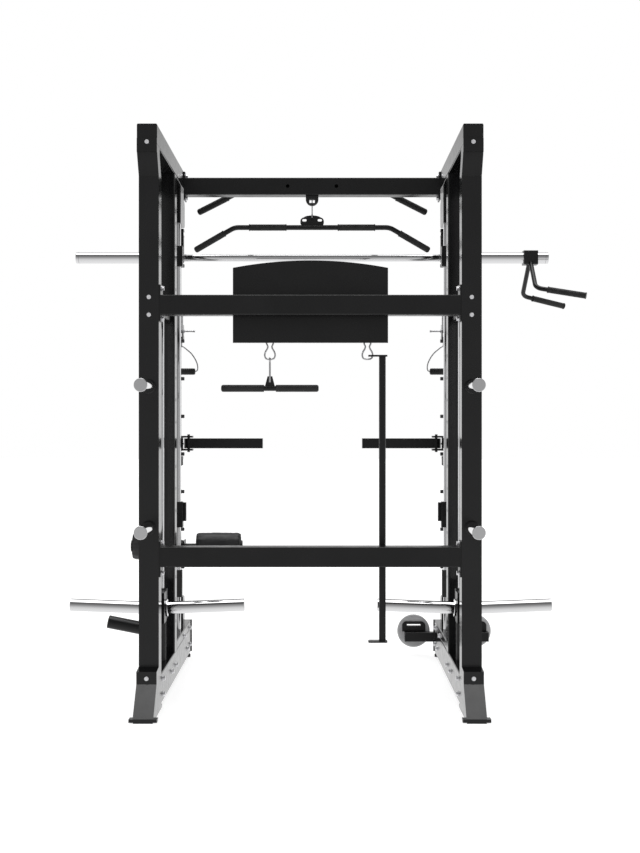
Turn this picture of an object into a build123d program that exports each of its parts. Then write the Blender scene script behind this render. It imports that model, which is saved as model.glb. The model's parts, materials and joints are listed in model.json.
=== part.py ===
"""Smith machine with two plate-loaded cable columns and its attachments, in millimetres.

X runs across the machine from its centre plane, Y from the rear faces of the rear uprights to the front,
Z up from the floor. Every piece is written with its origin moved to the middle of the whole outline.
"""

import os
from math import atan2, cos, degrees, radians, sin

from build123d import *

os.makedirs("parts", exist_ok=True)

SIDES = (("left", -1), ("right", 1))

# Square-tube frame
TUBE = 75.0
WALL = 3.0
CORNER_R = 5.0
SIDE_X = 602.5  # centre plane of each side frame
INNER_X = SIDE_X - TUBE / 2
OUTER_X = SIDE_X + TUBE / 2
TOP_Z = 2190.0
BEAM_Z = TOP_Z - TUBE  # underside of the top beams
BASE_Z = 20.0
BASE_TOP = 132.0
SILL_TOP = 167.0
FLANGE_T = 6.0

# Places from rear to front
POST_Y = 524.0  # rear face of the main posts
RAIL_Y = 1000.0  # rear edge of the catch rails and front end of the top beams
BASE_END_Y = 1186.0
CARRIAGE_Y = 258.0
ROD_Y = 900.0  # smith guide rods
BAR_Y = 950.0
CABLE_Y = 893.0  # cable plane inside the front crossbeam
STRAND_Y = 1082.0  # trolley cable in front of the catch rails

# Smith bar
BAR_Z = 1818.0
BAR_HALF = 1053.0
SHAFT_R = 16.0
SLEEVE_R = 25.0
SLEEVE_START = 650.0
ROD_R = 14.0
ROD_X = 595.0
STUB_Z = 1962.0

# Catch rails
RAIL_T = 12.0
RAIL_W = 60.0
RAIL_TOP = 2100.0
PEG_R = 8.0
PEG_Y = 1020.0
PEG_PITCH = 170.0
PEG_ZS = [431.0 + PEG_PITCH * k for k in range(9)]
PIN_Y = 1048.0
PIN_ZS = [392.0 + 85.0 * k for k in range(18)]

# Plate carriages
CARRIAGE_Z = 356.0
CARRIAGE_ROD_R = 12.5
CARRIAGE_ROD_YS = (150.0, 365.0)
HORN_R = 24.5
HORN_HALF = 342.0
HORN_TILT = 2.2
MID_BEAM_W = 40.0
MID_Z = 1502.0

# Cables and pulleys
CABLE_R = 2.5
CABLE_X = 630.0
CABLE_Z = 2138.0
REAR_PULLEY_R = 40.0
CORNER_PULLEY_R = 25.0
CENTRE_PULLEY_R = 22.0
CABLE_OFFSET = 5.4  # left cable behind CABLE_Y, right cable in front of it
PULLEY_RIM = 3.0
AXLE_R = 6.0
RUN = 0.06  # radial running clearance

# Cable bar, trolleys and stirrup handles
LAT_Z = 1945.5
LAT_R = 11.0
GRIP_R = 14.0
END_GRIP = 150.0
TROLLEY_Z0, TROLLEY_Z1 = 1490.0, 1655.0
PULL_PIN_Z, PULL_PIN_R = 1497.0, 3.6
HANDLE_Y = 1118.0
HANDLE_PIVOT_Z = 1470.0
HANDLE_Z = 1317.0

# Arms, leg rollers, landmine, foot rest
ARM_X, ARM_Y = 566.0, 1088.0
ARM_Z = 988.5
LEG_X, LEG_Y, LEG_Z = -578.0, 1132.0, 514.0
ROLLER_R = 65.0
YAW_X, MINE_Y, MINE_Z = -676.0, 1025.0, 144.0
PITCH_X = -728.0
MINE_R, MINE_BORE_R = 29.0, 25.5  # socket for a 50 mm bar sleeve
MINE_TILT = 11.2
PAD_R = 76.5
PAD_XS = (473.0, 759.0)
PAD_Z = 106.0
PAD_SLOT_Z = 135.0

# Stored attachments
HOOK_Y = 110.0
HOOK_HOLE_Z = 1404.0
LEFT_HOOK_X, RIGHT_HOOK_X = -155.0, 217.0
LONG_BAR_X = 274.0

# Whole outline, for the origin
ROW_GRIP_END = 1177.0
REAR_END = -223.0
FRONT_END = 1252.0
ORIGIN = Location((-(ROW_GRIP_END - BAR_HALF) / 2, -(REAR_END + FRONT_END) / 2, 0))


def save(piece, name):
    """Labels a finished piece and writes it with the shared origin."""
    piece.part.label = name
    export_step(piece.part.moved(ORIGIN), f"parts/{name}.step")


def tube_ring(width, depth):
    """Draws a square tube's section into the open sketch."""
    RectangleRounded(width, depth, CORNER_R)
    Rectangle(width - 2 * WALL, depth - 2 * WALL, mode=Mode.SUBTRACT)


def beam_along_y(x, z0, width, height, y0, y1):
    """A tube along Y in the open part."""
    with BuildSketch(Plane.XZ.offset(-y0)) as profile:
        with Locations((x, z0 + height / 2)):
            tube_ring(width, height)
    extrude(profile.sketch, amount=y0 - y1)


def beam_along_x(y, z, depth, height, half):
    """A tube along X, centred on the middle plane, in the open part."""
    with BuildSketch(Plane.YZ.offset(-half)) as profile:
        with Locations((y, z)):
            tube_ring(depth, height)
    extrude(profile.sketch, amount=2 * half)


def slab(x0, x1, y0, y1, z0, z1, mode=Mode.ADD):
    """A plain block between two corners in the open part."""
    with Locations(((x0 + x1) / 2, (y0 + y1) / 2, (z0 + z1) / 2)):
        Box(abs(x1 - x0), abs(y1 - y0), abs(z1 - z0), mode=mode)


def rod(start, end, radius, mode=Mode.ADD):
    """A round bar from start to end in the open part."""
    run = Vector(*end) - Vector(*start)
    with BuildSketch(Plane(origin=start, z_dir=run.normalized())) as profile:
        Circle(radius)
    extrude(profile.sketch, amount=run.length, mode=mode)


def side_plate(x0, x1, outline, mode=Mode.ADD):
    """A flat plate across X with an outline given in Y and Z, in the open part."""
    with BuildSketch(Plane.YZ.offset(min(x0, x1))) as profile:
        with BuildLine():
            Polyline(*outline, close=True)
        make_face()
    extrude(profile.sketch, amount=abs(x1 - x0), mode=mode)


def bent_tube(points, radii, radius):
    """A round tube swept along straight runs with filleted corners, in the open part."""
    with BuildLine(mode=Mode.PRIVATE) as route:
        FilletPolyline(*points, radius=radii)
    first = Vector(*points[1]) - Vector(*points[0])
    with BuildSketch(Plane(origin=points[0], z_dir=first.normalized())) as profile:
        Circle(radius)
    sweep(profile.sketch, path=route.wires()[0])


def rail_clamp(side, z0, z1):
    """A C-shaped sleeve round a catch rail, open on the side of the pegs, in the open part."""
    back, front = RAIL_Y - 10, RAIL_Y + RAIL_W + 10
    half = RAIL_T / 2
    outline = [(half + 10, back), (half + 10, front), (-half - 8, front), (-half - 8, front - 34)]
    outline += [(-half - 2, front - 34), (-half - 2, front - 8), (half + 2, front - 8), (half + 2, back + 8)]
    outline += [(-half - 2, back + 8), (-half - 2, back + 16), (-half - 8, back + 16), (-half - 8, back)]
    with BuildSketch(Plane.XY.offset(z0)) as profile:
        with BuildLine():
            Polyline(*[(side * (SIDE_X + x), y) for x, y in outline], close=True)
        make_face()
    extrude(profile.sketch, amount=z1 - z0)


def grooved_pulley(plane, groove_r, thickness):
    """A cable pulley with a groove and a running bore, in the open part."""
    rim_r = groove_r + PULLEY_RIM
    floor_r = groove_r - CABLE_R - 0.3
    with BuildSketch(plane.offset(-thickness / 2)) as profile:
        Circle(rim_r)
        Circle(AXLE_R + RUN, mode=Mode.SUBTRACT)
    extrude(profile.sketch, amount=thickness)
    with BuildSketch(plane.offset(-CABLE_R - 0.5)) as profile:
        Circle(rim_r + 1)
        Circle(floor_r, mode=Mode.SUBTRACT)
    extrude(profile.sketch, amount=2 * CABLE_R + 1, mode=Mode.SUBTRACT)


# ---------------------------------------------------------------- frame

UPRIGHT = [(0, 16), (75, 16), (75, 2006), (25, 2085), (25, BEAM_Z), (-50, BEAM_Z), (-50, 2085), (0, 2006)]


def make_rear_uprights():
    """Two cranked square uprights, each with a bolting plate at the top."""
    with BuildPart() as uprights:
        side_plate(INNER_X, OUTER_X, UPRIGHT)
        ends = faces().filter_by(Axis.Z).sort_by(Axis.Z)
        offset(amount=-WALL, openings=[ends[0], ends[-1]])
        slab(INNER_X, OUTER_X, -55, -50, 2085, 2136)
        mirror(about=Plane.YZ)
    return uprights


def make_rear_feet():
    """Two wedge-shaped rear feet on sole plates."""
    wedge = [(0, 174), (-65, 168), (-65, 122), (-158, 16), (0, 16)]
    with BuildPart() as feet:
        side_plate(INNER_X, OUTER_X, wedge)
        hollow = [(1, 168), (-60, 162), (-60, 120), (-148, 17), (1, 17)]
        side_plate(INNER_X + 5, OUTER_X - 5, hollow, mode=Mode.SUBTRACT)
        slab(INNER_X - 14, OUTER_X + 14, -165, -130, 4, 16)
        slab(INNER_X, OUTER_X, -130, 95, 4, 16)
        mirror(about=Plane.YZ)
    return feet


def make_top_beams():
    """Two top beams with the stubs that hold the smith rods, a pulley slot and a cable hole."""
    with BuildPart() as beams:
        beam_along_y(SIDE_X, BEAM_Z, TUBE, TUBE, -50, RAIL_Y)
        slab(INNER_X + WALL, OUTER_X - WALL, -50, -47, BEAM_Z + WALL, TOP_Z - WALL)
        slab(INNER_X + WALL, OUTER_X - WALL, RAIL_Y - 3, RAIL_Y, BEAM_Z + WALL, TOP_Z - WALL)
        with BuildSketch(Plane.XY.offset(STUB_Z)):
            with Locations((SIDE_X, 930)):
                tube_ring(50, 140)
        extrude(amount=BEAM_Z - STUB_Z)
        slab(SIDE_X - 22, SIDE_X + 22, 863, 997, STUB_Z, STUB_Z + 6)
        slab(621.5, OUTER_X - WALL, 246, 352, BEAM_Z - 1, BEAM_Z + WALL + 1, mode=Mode.SUBTRACT)
        rod((INNER_X - 1, CABLE_Y, CABLE_Z), (INNER_X + WALL + 1, CABLE_Y, CABLE_Z), 11, mode=Mode.SUBTRACT)
        mirror(about=Plane.YZ)
    return beams


def make_main_posts():
    """Two main posts with a row of round holes in their inner walls."""
    hole_r, hole_pitch, first_hole = 8.0, 92.0, 258.0
    with BuildPart() as posts:
        with BuildSketch(Plane.XY.offset(BASE_TOP)):
            with Locations((SIDE_X, POST_Y + TUBE / 2)):
                tube_ring(TUBE, TUBE)
        extrude(amount=BEAM_Z - BASE_TOP)
        with BuildSketch(Plane.YZ.offset(INNER_X - 1)):
            with Locations(*[(POST_Y + 40, first_hole + hole_pitch * k) for k in range(19)]):
                Circle(hole_r)
        extrude(amount=WALL + 2, mode=Mode.SUBTRACT)
        mirror(about=Plane.YZ)
    return posts


def make_base_beams():
    """Two base beams with raised front sills; the left one carries the landmine's ears."""
    with BuildPart() as beams:
        beam_along_y(SIDE_X, BASE_Z, TUBE, BASE_TOP - BASE_Z, TUBE, BASE_END_Y)
        beam_along_y(SIDE_X, BASE_TOP, TUBE, SILL_TOP - BASE_TOP, POST_Y + TUBE, BASE_END_Y)
        slab(INNER_X - 4, OUTER_X + 4, BASE_END_Y, BASE_END_Y + FLANGE_T, BASE_Z, SILL_TOP)
        mirror(about=Plane.YZ)
        slab(-OUTER_X - 8, -OUTER_X, MINE_Y - 30, MINE_Y + 30, 96, 186)
        for z in (MINE_Z - 30, MINE_Z + 22):
            with BuildSketch(Plane.XY.offset(z)):
                with Locations((YAW_X, MINE_Y)):
                    Circle(22)
                with Locations(((YAW_X - OUTER_X) / 2, MINE_Y)):
                    Rectangle(-OUTER_X - YAW_X, 44)
                with Locations((YAW_X, MINE_Y)):
                    Circle(8 + RUN, mode=Mode.SUBTRACT)
            extrude(amount=8)
    return beams


def make_mid_beams():
    """Two narrower side beams between the rear uprights and the main posts."""
    with BuildPart() as beams:
        beam_along_y(SIDE_X, MID_Z, MID_BEAM_W, TUBE, TUBE, POST_Y)
        mirror(about=Plane.YZ)
    return beams


def crossmember(y, z, flange_z0, flange_z1):
    """A crossmember tube with a bolting flange at each end, in the open part."""
    beam_along_x(y, z, TUBE, TUBE, INNER_X - FLANGE_T)
    slab(INNER_X - FLANGE_T, INNER_X, y - 36, y + 36, flange_z0, flange_z1)
    slab(FLANGE_T - INNER_X, -INNER_X, y - 36, y + 36, flange_z0, flange_z1)


def make_rear_crossmembers():
    """Two rear crossmembers: the upper one carries the panel, the lower one is at knee height."""
    with BuildPart() as members:
        crossmember(TUBE / 2, 1525.5, 1465, 1601)
        crossmember(TUBE / 2, 583, 508, 641)
    return members


CROSSBEAM_Y, CROSSBEAM_Z = 899.5, 2123.5


def make_front_crossbeam():
    """Front crossbeam with cable holes in its flanges, a cable slot below and two holes in its rear wall."""
    back = CROSSBEAM_Y - TUBE / 2
    with BuildPart() as beam:
        crossmember(CROSSBEAM_Y, CROSSBEAM_Z, 2064, 2187)
        for side in (-1, 1):
            rod((side * 550, CABLE_Y, CABLE_Z), (side * 566, CABLE_Y, CABLE_Z), 11, mode=Mode.SUBTRACT)
            rod((side * 107, back - 1, CROSSBEAM_Z), (side * 107, back + 4, CROSSBEAM_Z), 8, mode=Mode.SUBTRACT)
        slab(-13, 13, CABLE_Y - 11, CABLE_Y + 9, 2080, 2092, mode=Mode.SUBTRACT)
    return beam


def make_rear_panel():
    """Sheet panel with an arched top, folded side edges and two hook tabs."""
    half, low, corner, peak, sheet = 294.0, 1388.0, 1672.0, 1700.0, 3.0
    with BuildPart() as panel:
        with BuildSketch(Plane.XZ.offset(-TUBE)):
            with BuildLine():
                Line((-half, corner), (-half, low))
                Line((-half, low), (half, low))
                Line((half, low), (half, corner))
                ThreePointArc((half, corner), (0, peak), (-half, corner))
            make_face()
        extrude(amount=-sheet)
        for side in (-1, 1):
            slab(side * half, side * (half - sheet), TUBE, TUBE + 18, low, corner - 1)
        slab(-half, half, TUBE, TUBE + 18, low, low + sheet)
        for x in (LEFT_HOOK_X, RIGHT_HOOK_X):
            with BuildSketch(Plane.YZ.offset(x - 2.5)):
                with Locations((HOOK_Y, HOOK_HOLE_Z)):
                    Circle(13)
                with Locations(((TUBE + sheet + HOOK_Y) / 2, HOOK_HOLE_Z + 6)):
                    Rectangle(HOOK_Y - TUBE - sheet, 12)
                with Locations((HOOK_Y, HOOK_HOLE_Z)):
                    Circle(7, mode=Mode.SUBTRACT)
            extrude(amount=5)
    return panel


PULL_UP_Y, PULL_UP_Z, PULL_UP_R = 1010.0, 2118.0, 11.5
PULL_UP_END, PULL_UP_END_Z, PULL_UP_BEND = 514.0, 2030.0, 340.0


def make_pull_up_bar():
    """Pull-up bar with sloping ends on two stand-offs from the front crossbeam."""
    points = [(-PULL_UP_END, PULL_UP_Y, PULL_UP_END_Z), (-PULL_UP_BEND, PULL_UP_Y, PULL_UP_Z)]
    points += [(PULL_UP_BEND, PULL_UP_Y, PULL_UP_Z), (PULL_UP_END, PULL_UP_Y, PULL_UP_END_Z)]
    front = CROSSBEAM_Y + TUBE / 2
    with BuildPart() as bar:
        bent_tube(points, 60, PULL_UP_R)
        for x in (-290, 290):
            rod((x, front, PULL_UP_Z), (x, PULL_UP_Y, PULL_UP_Z), 13)
            rod((x, front, PULL_UP_Z), (x, front + 6, PULL_UP_Z), 30)
    return bar


def sleeve_on(start, direction, length, inner_r, outer_r):
    """A hollow grip round a tube, from start along direction, in the open part."""
    plane = Plane(origin=start, z_dir=direction)
    with BuildSketch(plane) as profile:
        Circle(outer_r)
        Circle(inner_r, mode=Mode.SUBTRACT)
    extrude(profile.sketch, amount=length)


def end_grip(start, direction, length, inner_r, outer_r):
    """A hollow grip with a rounded closed end over the end of a tube, in the open part."""
    cap = 3.0
    way = Vector(*direction).normalized()
    with BuildSketch(Plane(origin=start, x_dir=way, z_dir=(0, 1, 0))) as profile:
        with BuildLine():
            Polyline((-cap, 0), (-cap, outer_r), (length, outer_r), (length, inner_r), (0, inner_r), (0, 0),
                     close=True)
        make_face()
        fillet(vertices().sort_by_distance((-cap, outer_r))[0], radius=outer_r - 4)
    revolve(profile.sketch, axis=Axis(start, way))


def make_pull_up_grips():
    """Two rubber grips on the sloping ends of the pull-up bar."""
    with BuildPart() as grips:
        start = (PULL_UP_END, PULL_UP_Y, PULL_UP_END_Z)
        slope = (PULL_UP_BEND - PULL_UP_END, 0, PULL_UP_Z - PULL_UP_END_Z)
        end_grip(start, slope, END_GRIP, PULL_UP_R, PULL_UP_R + 3)
        mirror(about=Plane.YZ)
    return grips


def make_catch_rails():
    """Two flat catch rails with a row of pin holes."""
    with BuildPart() as rails:
        slab(SIDE_X - RAIL_T / 2, SIDE_X + RAIL_T / 2, RAIL_Y, RAIL_Y + RAIL_W, SILL_TOP, RAIL_TOP)
        with BuildSketch(Plane.YZ.offset(SIDE_X - RAIL_T)):
            with Locations(*[(PIN_Y, z) for z in PIN_ZS]):
                Circle(4.5)
        extrude(amount=2 * RAIL_T, mode=Mode.SUBTRACT)
        mirror(about=Plane.YZ)
    return rails


def make_catch_pegs():
    """Two rows of round pegs on the inner faces of the catch rails, each with a chamfered end."""
    peg_end = 578.0
    with BuildPart() as pegs:
        with BuildSketch(Plane.YZ.offset(peg_end)):
            with Locations(*[(PEG_Y, z) for z in PEG_ZS]):
                Circle(PEG_R)
        extrude(amount=SIDE_X - RAIL_T / 2 - peg_end)
        chamfer(edges().filter_by(GeomType.CIRCLE).group_by(Axis.X)[0], length=1.5)
        mirror(about=Plane.YZ)
    return pegs


def make_smith_guide_rods():
    """Two chrome rods that the smith bar's bearing blocks run on."""
    with BuildPart() as rods:
        rod((ROD_X, ROD_Y, SILL_TOP), (ROD_X, ROD_Y, STUB_Z), ROD_R)
        mirror(about=Plane.YZ)
    return rods


def make_carriage_guide_rods():
    """Four chrome rods that the plate carriages run on."""
    with BuildPart() as rods:
        for y in CARRIAGE_ROD_YS:
            rod((SIDE_X, y, BASE_TOP), (SIDE_X, y, MID_Z), CARRIAGE_ROD_R)
        mirror(about=Plane.YZ)
    return rods


def make_storage_horns():
    """Four chrome plate storage horns behind the rear uprights."""
    with BuildPart() as horns:
        for z in (1220, 693):
            rod((SIDE_X, REAR_END, z), (SIDE_X, 0, z), HORN_R)
        fillet(edges().filter_by(GeomType.CIRCLE).group_by(Axis.Y)[0], radius=2)
        mirror(about=Plane.YZ)
    return horns


def bolt_heads(plane, spots, washer_r, head):
    """Hex heads on washers at local spots of a plane, in the open part."""
    washer = 2.0
    with BuildSketch(plane) as profile:
        with Locations(*spots):
            Circle(washer_r)
    extrude(profile.sketch, amount=washer)
    with BuildSketch(plane.offset(washer)) as profile:
        with Locations(*spots):
            RegularPolygon(washer_r * 0.82, 6)
    extrude(profile.sketch, amount=head)


def make_frame_bolts():
    """Hex bolt heads of the frame's bolted joints."""
    inward = Plane(origin=(INNER_X, 0, 0), x_dir=(0, 1, 0), z_dir=(-1, 0, 0))
    rear, flange = (8.0, 4.0), (11.0, 7.0)  # washer radius and head height
    with BuildPart() as bolts:
        bolt_heads(Plane.XZ, [(SIDE_X, 1554), (SIDE_X, 1488)], *rear)
        bolt_heads(Plane.XZ.offset(55), [(SIDE_X, 2122)], *rear)
        bolt_heads(Plane.XZ.offset(65), [(SIDE_X, 143)], *rear)
        # Plane inward has local y pointing down, so heights are negative here.
        flange_spots = [(TUBE / 2, 1590), (TUBE / 2, 1476), (TUBE / 2, 632), (TUBE / 2, 520)]
        flange_spots += [(CROSSBEAM_Y, 2174), (CROSSBEAM_Y, 2075)]
        bolt_heads(inward.offset(FLANGE_T), [(y, -z) for y, z in flange_spots], *flange)
        base_spots = [(120, 108), (120, 48), (420, 76), (561, 76)]
        base_spots += [(900, 140), (1030, 60), (1120, 140), (1150, 60)]
        bolt_heads(inward, [(y, -z) for y, z in base_spots], *flange)
        mirror(about=Plane.YZ)
    return bolts


def make_rubber_feet():
    """Rear sole pads and round front feet."""
    with BuildPart() as feet:
        slab(INNER_X + 2, OUTER_X - 2, -163, 93, 0, 4)
        rod((SIDE_X - 18, BASE_END_Y - 28, 0), (SIDE_X - 18, BASE_END_Y - 28, 12), 20)
        rod((SIDE_X - 18, BASE_END_Y - 28, 12), (SIDE_X - 18, BASE_END_Y - 28, BASE_Z), 8)
        mirror(about=Plane.YZ)
    return feet


def make_rod_bumpers():
    """Rubber stops on the smith rods and under the plate carriages."""
    with BuildPart() as bumpers:
        with BuildSketch(Plane.XY.offset(313)):
            with Locations((ROD_X, ROD_Y)):
                RectangleRounded(40, 40, 6)
                Circle(ROD_R, mode=Mode.SUBTRACT)
        extrude(amount=118)
        with BuildSketch(Plane.XY.offset(BASE_TOP)):
            with Locations(*[(SIDE_X, y) for y in CARRIAGE_ROD_YS]):
                Circle(21)
                Circle(CARRIAGE_ROD_R, mode=Mode.SUBTRACT)
        extrude(amount=299 - BASE_TOP)
        mirror(about=Plane.YZ)
    return bumpers


REAR_PULLEY_Y = CARRIAGE_Y + REAR_PULLEY_R
REAR_PULLEY_Z = CABLE_Z - REAR_PULLEY_R
CORNER_X = CABLE_X - CORNER_PULLEY_R
CORNER_Y = CABLE_Y - CORNER_PULLEY_R
CENTRE_X = CENTRE_PULLEY_R
CENTRE_Z = CABLE_Z - CENTRE_PULLEY_R


def make_pulley_brackets():
    """Side plates, axles and housings of the cable pulleys, and the cable guide under the crossbeam."""
    plate = [(150, BEAM_Z), (165, 2062), (425, 2062), (440, BEAM_Z)]
    guide_y = (CABLE_Y - 14, CABLE_Y + 10)
    with BuildPart() as brackets:
        side_plate(616, 620, plate)
        side_plate(637, 640, plate)
        rod((620, REAR_PULLEY_Y, REAR_PULLEY_Z), (637, REAR_PULLEY_Y, REAR_PULLEY_Z), AXLE_R)
        slab(SIDE_X - 14, SIDE_X + 14, RAIL_Y + RAIL_W, 1132, 1975, 2095)
        slab(SIDE_X - 14, SIDE_X + 14, RAIL_Y + RAIL_W, 1132, SILL_TOP, 290)
        fillet(edges().filter_by(Axis.X).group_by(Axis.Y)[-1], radius=24)
        mirror(about=Plane.YZ)
        for side in (-1, 1):
            x, y = side * CORNER_X, CORNER_Y + side * CABLE_OFFSET
            rod((x, y, BEAM_Z + WALL), (x, y, TOP_Z - WALL), AXLE_R)
            x = side * CENTRE_X
            rod((x, CROSSBEAM_Y - 34.5, CENTRE_Z), (x, CROSSBEAM_Y + 34.5, CENTRE_Z), AXLE_R)
        for y in guide_y:
            with BuildSketch(Plane.XZ.offset(-y)):
                with Locations((0, 2078)):
                    Rectangle(56, 16)
                with Locations((0, 2070)):
                    Circle(28)
                with Locations((0, 2096)):
                    Rectangle(58, 20, mode=Mode.SUBTRACT)
                with Locations((0, 2060)):
                    Rectangle(24, 16, mode=Mode.SUBTRACT)
            extrude(amount=-4)
        for x in (-20, 20):
            rod((x, guide_y[0] + 4, 2062), (x, guide_y[1], 2062), 4)
    return brackets


def make_frame_cables():
    """Cable runs that stay in place: over the pulleys, in the beams, and in front of the catch rails."""
    rear_turn = REAR_PULLEY_R * cos(radians(45))
    corner_turn = CORNER_PULLEY_R * cos(radians(45))
    centre_turn = CENTRE_PULLEY_R * cos(radians(45))
    with BuildPart() as cables:
        for side in (-1, 1):
            x, y = side * CABLE_X, CABLE_Y + side * CABLE_OFFSET
            corner_x, corner_y = side * CORNER_X, y - CORNER_PULLEY_R
            with BuildLine(mode=Mode.PRIVATE) as route:
                turn = (x, REAR_PULLEY_Y - rear_turn, REAR_PULLEY_Z + rear_turn)
                over = (x, REAR_PULLEY_Y, CABLE_Z)
                ThreePointArc((x, CARRIAGE_Y, REAR_PULLEY_Z), turn, over)
                before = (x, corner_y, CABLE_Z)
                Line(over, before)
                turn = (corner_x + side * corner_turn, corner_y + corner_turn, CABLE_Z)
                after = (corner_x, y, CABLE_Z)
                ThreePointArc(before, turn, after)
                top = (side * CENTRE_X, y, CABLE_Z)
                Line(after, top)
                turn = (side * (CENTRE_X - centre_turn), y, CENTRE_Z + centre_turn)
                ThreePointArc(top, turn, (0, y, CENTRE_Z))
            with BuildSketch(Plane.XY.offset(REAR_PULLEY_Z)) as profile:
                with Locations((x, CARRIAGE_Y)):
                    Circle(CABLE_R)
            sweep(profile.sketch, path=route.wires()[0])
            x = side * SIDE_X
            rod((x, STRAND_Y, 290), (x, STRAND_Y, 1975), CABLE_R)
    return cables


def make_spotter_brackets():
    """Pinned clamps on the catch rails with the ears and pivot pins of the folding arms."""
    inner = SIDE_X - RAIL_T / 2
    with BuildPart() as brackets:
        rail_clamp(1, 955, 1022)
        rail_clamp(1, 889, 930)
        rod((inner - 12, PIN_Y, 987), (SIDE_X + 20, PIN_Y, 987), 4.4)
        for z in (955, 1014):
            slab(ARM_X - 20, inner, RAIL_Y + RAIL_W + 4, ARM_Y + 20, z, z + 8)
        rod((ARM_X, ARM_Y, 948), (ARM_X, ARM_Y, 1029), 6)
        mirror(about=Plane.YZ)
    return brackets


def make_footrest_bar():
    """Low foot rest bar bolted to the front of the right base beam."""
    back = BASE_END_Y + FLANGE_T
    with BuildPart() as bar:
        with BuildSketch(Plane.YZ.offset(430)):
            with Locations((back + 20, 83.5)):
                RectangleRounded(40, 43, 4)
                Rectangle(34, 37, mode=Mode.SUBTRACT)
        extrude(amount=390)
        slab(430, 433, back + 2, back + 38, 64, 103)
        slab(817, 820, back + 2, back + 38, 64, 103)
        slab(572, 634, back, back + 6, 105, 160)
        for x in PAD_XS:
            with BuildSketch(Plane.XZ.offset(-(back + 34))):
                with Locations((x, 115)):
                    RectangleRounded(108, 74, 20)
                with Locations((x, PAD_SLOT_Z)):
                    SlotOverall(66, 8, mode=Mode.SUBTRACT)
                with Locations((x, 83.5)):
                    Rectangle(110, 43.2, mode=Mode.SUBTRACT)
            extrude(amount=-6)
    return bar


def make_foot_pads():
    """Two round foot pads with a slot."""
    back = BASE_END_Y + FLANGE_T + 40
    with BuildPart() as pads:
        for x in PAD_XS:
            with BuildSketch(Plane.XZ.offset(-back)):
                with Locations((x, PAD_Z)):
                    Circle(PAD_R)
            extrude(amount=-20)
        fillet(edges().filter_by(GeomType.CIRCLE), radius=7)
        for x in PAD_XS:
            with BuildSketch(Plane.XZ.offset(-back + 1)):
                with Locations((x, PAD_SLOT_Z)):
                    SlotOverall(66, 8)
            extrude(amount=-22, mode=Mode.SUBTRACT)
    return pads


# ---------------------------------------------------------------- cables and pulleys


def make_rear_pulleys():
    """Two pulleys above the plate carriages."""
    with BuildPart() as pulleys:
        centre = (CABLE_X, REAR_PULLEY_Y, REAR_PULLEY_Z)
        grooved_pulley(Plane(origin=centre, z_dir=(1, 0, 0)), REAR_PULLEY_R, 10)
        mirror(about=Plane.YZ)
    return pulleys


def make_corner_pulley(side):
    """Pulley that turns the cable from the top beam into the front crossbeam."""
    with BuildPart() as pulley:
        centre = (side * CORNER_X, CORNER_Y + side * CABLE_OFFSET, CABLE_Z)
        grooved_pulley(Plane(origin=centre), CORNER_PULLEY_R, 10)
    return pulley


def make_centre_pulley(side):
    """Pulley that turns the cable down to the pull-down bar."""
    with BuildPart() as pulley:
        centre = (side * CENTRE_X, CABLE_Y + side * CABLE_OFFSET, CENTRE_Z)
        grooved_pulley(Plane(origin=centre, z_dir=(0, 1, 0)), CENTRE_PULLEY_R, 10)
    return pulley


HANGER_TOP, HANGER_EYE_Z = 1999.0, 1984.0


def make_lat_cable():
    """The two strands from the centre pulleys to the pull-down bar, one behind the other."""
    with BuildPart() as cable:
        for side in (-1, 1):
            y = CABLE_Y + side * CABLE_OFFSET
            rod((0, y, HANGER_EYE_Z + 4), (0, y, CENTRE_Z), CABLE_R)
    return cable


CARRIAGE_BOTTOM, CARRIAGE_TOP = 300.0, 420.0


def make_carriage_cables():
    """The strands from the plate carriages up to the rear pulleys."""
    with BuildPart() as cables:
        for side in (-1, 1):
            x = side * CABLE_X
            rod((x, CARRIAGE_Y, CARRIAGE_TOP), (x, CARRIAGE_Y, REAR_PULLEY_Z), CABLE_R)
    return cables


def make_weight_carriage(side):
    """Carriage with two bearing housings and a middle block."""
    bottom, top = CARRIAGE_BOTTOM, CARRIAGE_TOP
    height = top - bottom
    with BuildPart() as carriage:
        slab(side * 572, side * OUTER_X, 222, 294, bottom, top)
        slab(side * (SIDE_X - 14), side * (SIDE_X + 14), 150, 365, bottom + 18, top - 18)
        with BuildSketch(Plane.XY.offset(bottom)):
            with Locations(*[(side * SIDE_X, y) for y in CARRIAGE_ROD_YS]):
                Circle(25)
        extrude(amount=height)
        with BuildSketch(Plane.XY.offset(bottom)):
            with Locations(*[(side * SIDE_X, y) for y in CARRIAGE_ROD_YS]):
                Circle(CARRIAGE_ROD_R + RUN)
        extrude(amount=height, mode=Mode.SUBTRACT)
    return carriage


def make_weight_horns(side):
    """Two chrome plate horns, one each way, tilted up a little, with their flanges."""
    tilt = radians(HORN_TILT)
    start = Vector(side * SIDE_X, CARRIAGE_Y, CARRIAGE_Z)
    flange_r, flange_start = 34.0, 25.0
    with BuildPart() as horns:
        for sign, flange_end in ((side, 46.3), (-side, 39.8)):
            way = Vector(sign * cos(tilt), 0, sin(tilt))
            rod(tuple(start), tuple(start + way * HORN_HALF), HORN_R)
            rod(tuple(start + way * flange_start), tuple(start + way * flange_end), flange_r)
        slab(side * 572, side * OUTER_X, 200, 320, CARRIAGE_BOTTOM, CARRIAGE_TOP, mode=Mode.SUBTRACT)
        ends = edges().filter_by(GeomType.CIRCLE).group_by(Axis.X)
        fillet(ends[0] + ends[-1], radius=2)
    return horns


LAT_BEND, LAT_END, LAT_END_Z = 343.0, 516.0, 1845.0
LAT_GRIPS = (113.0, 279.0)


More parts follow.
